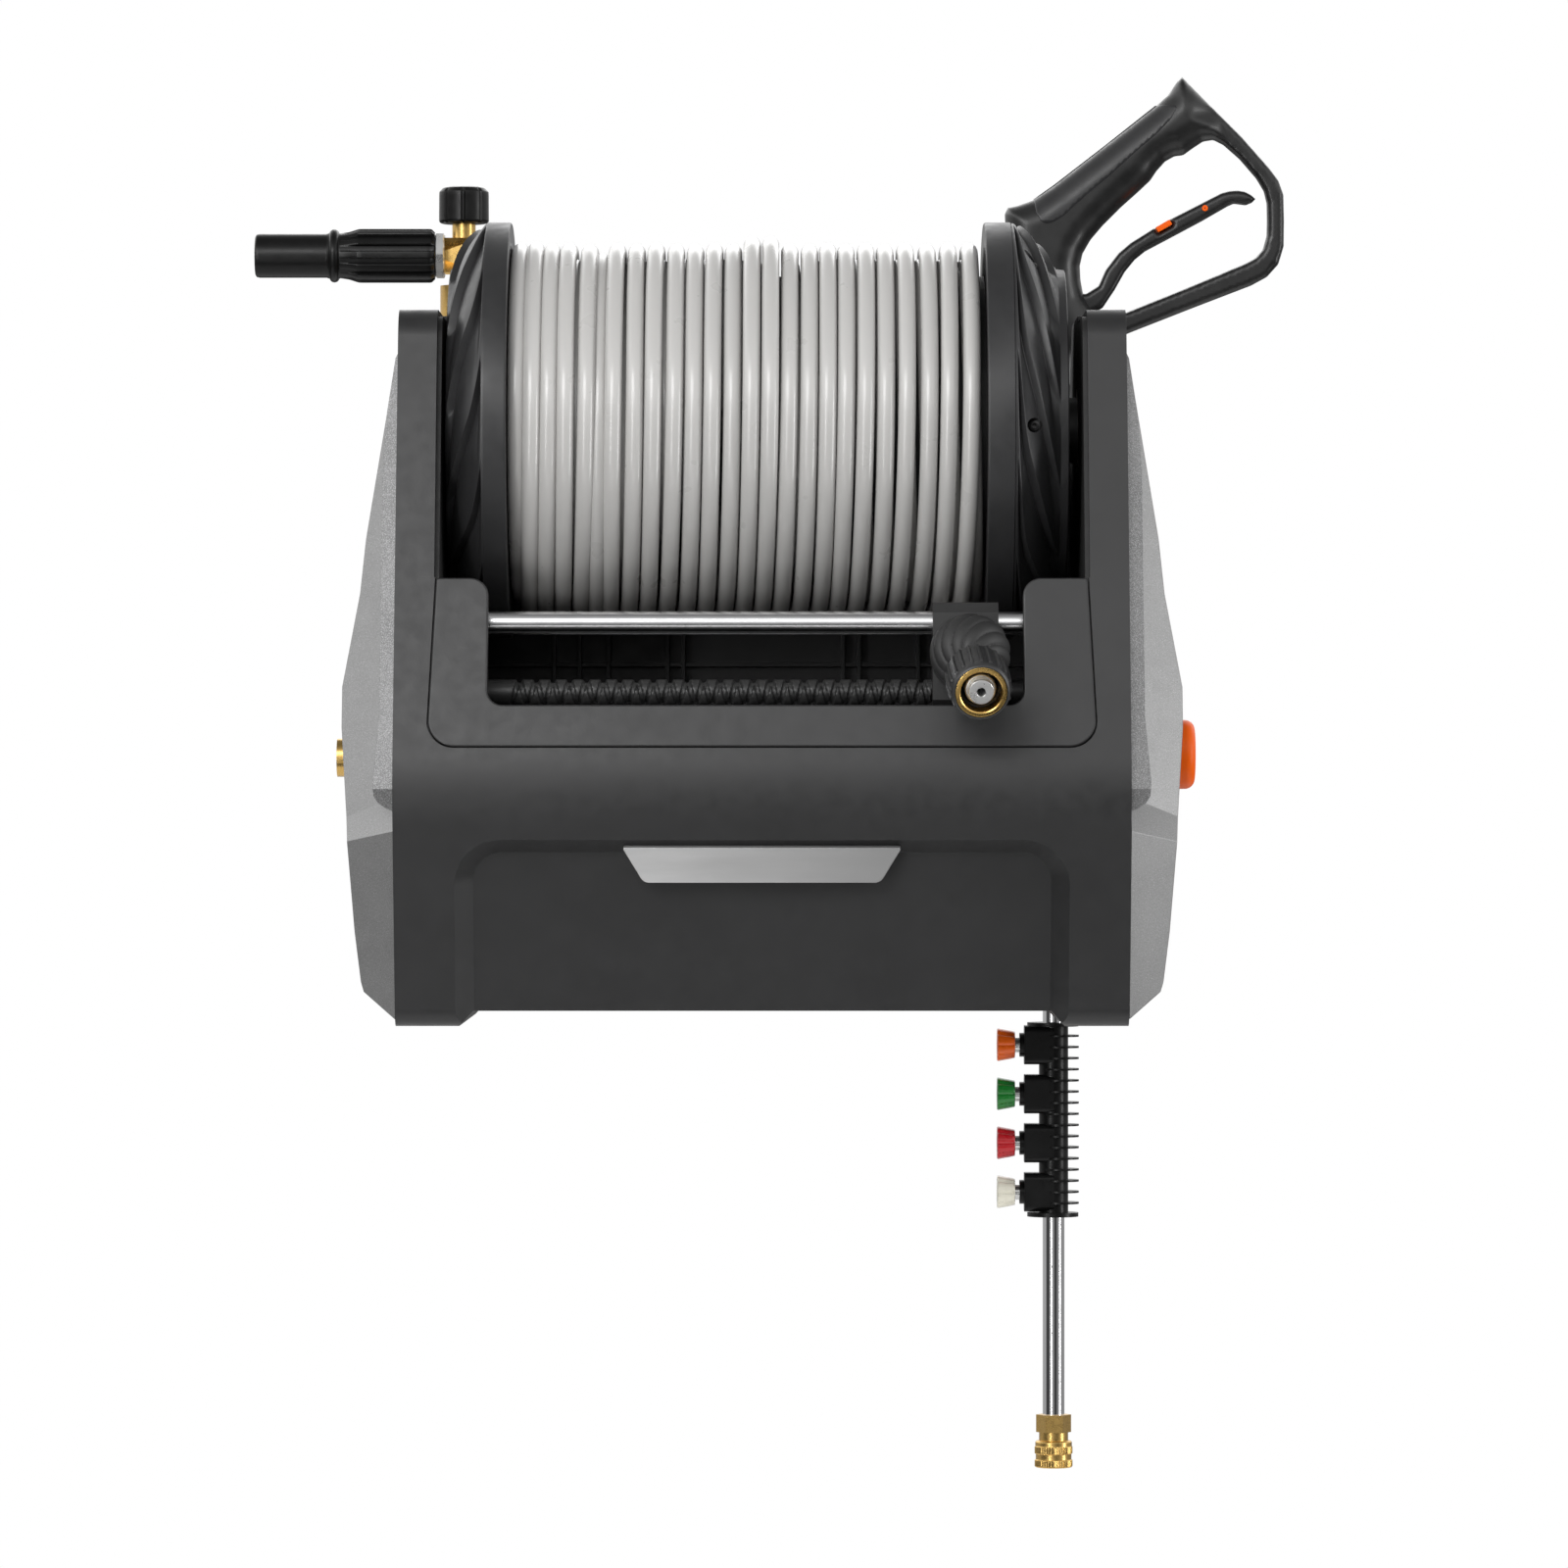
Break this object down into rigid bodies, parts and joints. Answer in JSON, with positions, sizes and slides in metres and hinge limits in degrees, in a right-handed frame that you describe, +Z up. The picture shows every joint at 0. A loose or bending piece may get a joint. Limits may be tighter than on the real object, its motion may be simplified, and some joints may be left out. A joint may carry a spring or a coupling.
{
  "type": "wall mounted pressure washer with hose reel",
  "caption": "Wall mounted electric pressure washer with a spring-rewound hose reel, level-winding hose guide, spray gun with lance and nozzles, and a parked foam cannon.",
  "frame": {"origin": "centre of the wall bracket's four screws, on the wall plane", "axes": "+X to the right, -Y out from the wall towards the user, +Z up"},
  "size_m": [0.6504, 0.4462, 0.8791],
  "materials": {
    "bracket_steel": "black powder coat",
    "frame_black": "fine grained charcoal moulded plastic",
    "inner_black": "plain black moulded plastic",
    "cover_silver": "silver grey metallic plastic with a coarse speckle",
    "trim_textured": "spark-eroded grey plastic",
    "bezel_black": "satin charcoal plastic",
    "plate_silver": "brushed silver, blank",
    "chrome": "polished",
    "motor_grey": "cast",
    "pump_alloy": "cast",
    "brass": "machined",
    "rubber_black": "matte",
    "steel": "turned",
    "bearing_plastic": "natural acetal",
    "screw_steel": "black oxide",
    "flange_black": "satin black",
    "spring_steel": "blued",
    "hose_grey": "smooth warm grey jacket",
    "screw_black": "black acetal",
    "guide_black": "satin black",
    "nut_black": "fluted black plastic over a brass insert",
    "orange": "satin orange",
    "gun_black": "fine grained black",
    "grip_rubber": "soft touch",
    "tip_orange": "gloss",
    "tip_green": "gloss",
    "tip_red": "gloss",
    "tip_white": "gloss ivory"
  },
  "bodies": {
    "frame": {"wall_bracket": "bracket_steel", "front_frame": "frame_black", "rear_cover": "frame_black", "left_side_plate": "inner_black", "right_side_plate": "inner_black", "left_cover": "cover_silver", "right_cover": "cover_silver", "edge_trims": "trim_textured", "front_bezel": "bezel_black", "name_plate": "plate_silver", "guide_bar": "chrome", "motor_case": "motor_grey", "pump_head": "pump_alloy", "inlet_fitting": "brass", "suction_pipe": "rubber_black", "pressure_pipe": "rubber_black", "swivel_body": "brass", "control_box": "inner_black", "arbor": "steel", "arbor_bracket": "bracket_steel", "drum_bearings": "bearing_plastic", "screw_bushes": "bearing_plastic", "gun_clips": "frame_black", "foam_holder": "frame_black", "cable_gland": "inner_black", "cover_screws": "screw_steel"},
    "drum": {"drum_core": "inner_black", "left_flange": "flange_black", "right_flange": "flange_black", "drum_gear": "bearing_plastic", "mainspring": "spring_steel", "flange_screws": "screw_steel", "hose_winding": "hose_grey", "swivel_stem": "brass"},
    "idler": {"idler_gear": "bearing_plastic"},
    "screw": {"lead_screw": "screw_black", "screw_gear": "bearing_plastic"},
    "guide": {"hose_guide": "guide_black", "guide_pin": "brass", "hose_outlet": "hose_grey", "hose_stop": "rubber_black", "hose_connector": "steel"},
    "nut": {"connector_nut": "nut_black"},
    "knob": {"power_knob": "orange"},
    "fan": {"motor_fan": "bearing_plastic"},
    "gun": {"gun_body": "gun_black", "grip_insert": "grip_rubber", "lance_rod": "chrome", "nozzle_holder": "gun_black", "coupler_body": "brass"},
    "trigger": {"trigger": "gun_black"},
    "lock": {"trigger_lock": "orange"},
    "collar": {"coupler_collar": "brass"},
    "orange_tip": {"nozzle_orange": "tip_orange"},
    "green_tip": {"nozzle_green": "tip_green"},
    "red_tip": {"nozzle_red": "tip_red"},
    "white_tip": {"nozzle_white": "tip_white"},
    "foam_cannon": {"foam_body": "brass"},
    "foam_dial": {"foam_knob": "gun_black"},
    "foam_fan": {"foam_nozzle": "gun_black"}
  },
  "joints": [
    {"name": "drum_spin", "type": "hinge", "parent": "frame", "child": "drum", "pos_m": [0, -0.212, 0.144], "axis": [-1, 0, 0], "range_deg": [0, 8640]},
    {"name": "idler_spin", "type": "hinge", "parent": "frame", "child": "idler", "pos_m": [0, -0.26814, 0.06221], "axis": [-1, 0, 0], "range_deg": [-4922.52, 1]},
    {"name": "screw_spin", "type": "hinge", "parent": "frame", "child": "screw", "pos_m": [0, -0.32291, -0.0176], "axis": [-1, 0, 0], "range_deg": [-1, 9258.14]},
    {"name": "guide_slide", "type": "slide", "parent": "frame", "child": "guide", "axis": [-1, 0, 0], "range_m": [0, 0.25724]},
    {"name": "nut_spin", "type": "hinge", "parent": "guide", "child": "nut", "pos_m": [0.12671, -0.42189, -0.01251], "axis": [0.0701, -0.9412, -0.3304], "continuous": true},
    {"name": "power_turn", "type": "hinge", "parent": "frame", "child": "knob", "pos_m": [0.25, -0.23, -0.054], "axis": [1, 0, 0], "range_deg": [0, 90]},
    {"name": "motor_spin", "type": "hinge", "parent": "frame", "child": "fan", "pos_m": [-0.14, -0.2, -0.135], "axis": [1, 0, 0], "continuous": true},
    {"name": "gun_out", "type": "slide", "parent": "frame", "child": "gun", "axis": [1, 0, 0], "range_m": [0, 0.1]},
    {"name": "trigger_pull", "type": "hinge", "parent": "gun", "child": "trigger", "pos_m": [0.198, -0.045, 0.231], "axis": [0, -1, 0], "range_deg": [0, 8], "stiffness_Nm_per_rad": 2},
    {"name": "lock_push", "type": "slide", "parent": "trigger", "child": "lock", "axis": [0, 1, 0], "range_m": [0, 0.004]},
    {"name": "collar_pull", "type": "slide", "parent": "gun", "child": "collar", "axis": [0, 0, 1], "range_m": [0, 0.004], "stiffness_N_per_m": 400},
    {"name": "orange_tip_out", "type": "slide", "parent": "gun", "child": "orange_tip", "axis": [-1, 0, 0], "range_m": [0, 0.025]},
    {"name": "green_tip_out", "type": "slide", "parent": "gun", "child": "green_tip", "axis": [-1, 0, 0], "range_m": [0, 0.025]},
    {"name": "red_tip_out", "type": "slide", "parent": "gun", "child": "red_tip", "axis": [-1, 0, 0], "range_m": [0, 0.025]},
    {"name": "white_tip_out", "type": "slide", "parent": "gun", "child": "white_tip", "axis": [-1, 0, 0], "range_m": [0, 0.025]},
    {"name": "foam_lift", "type": "slide", "parent": "frame", "child": "foam_cannon", "axis": [0, 0, 1], "range_m": [0, 0.06]},
    {"name": "foam_dial_turn", "type": "hinge", "parent": "foam_cannon", "child": "foam_dial", "pos_m": [-0.1894, -0.045, 0.29], "axis": [0, 0, 1], "range_deg": [0, 300]},
    {"name": "foam_fan_turn", "type": "hinge", "parent": "foam_cannon", "child": "foam_fan", "pos_m": [-0.25, -0.045, 0.262], "axis": [1, 0, 0], "range_deg": [0, 90]}
  ],
  "couplings": [
    {"joint": "idler_spin", "follows": "drum_spin", "ratio": -0.56962},
    {"joint": "screw_spin", "follows": "drum_spin", "ratio": 1.0714},
    {"joint": "guide_slide", "follows": "drum_spin", "m_per_rad": 0.0017052}
  ]
}
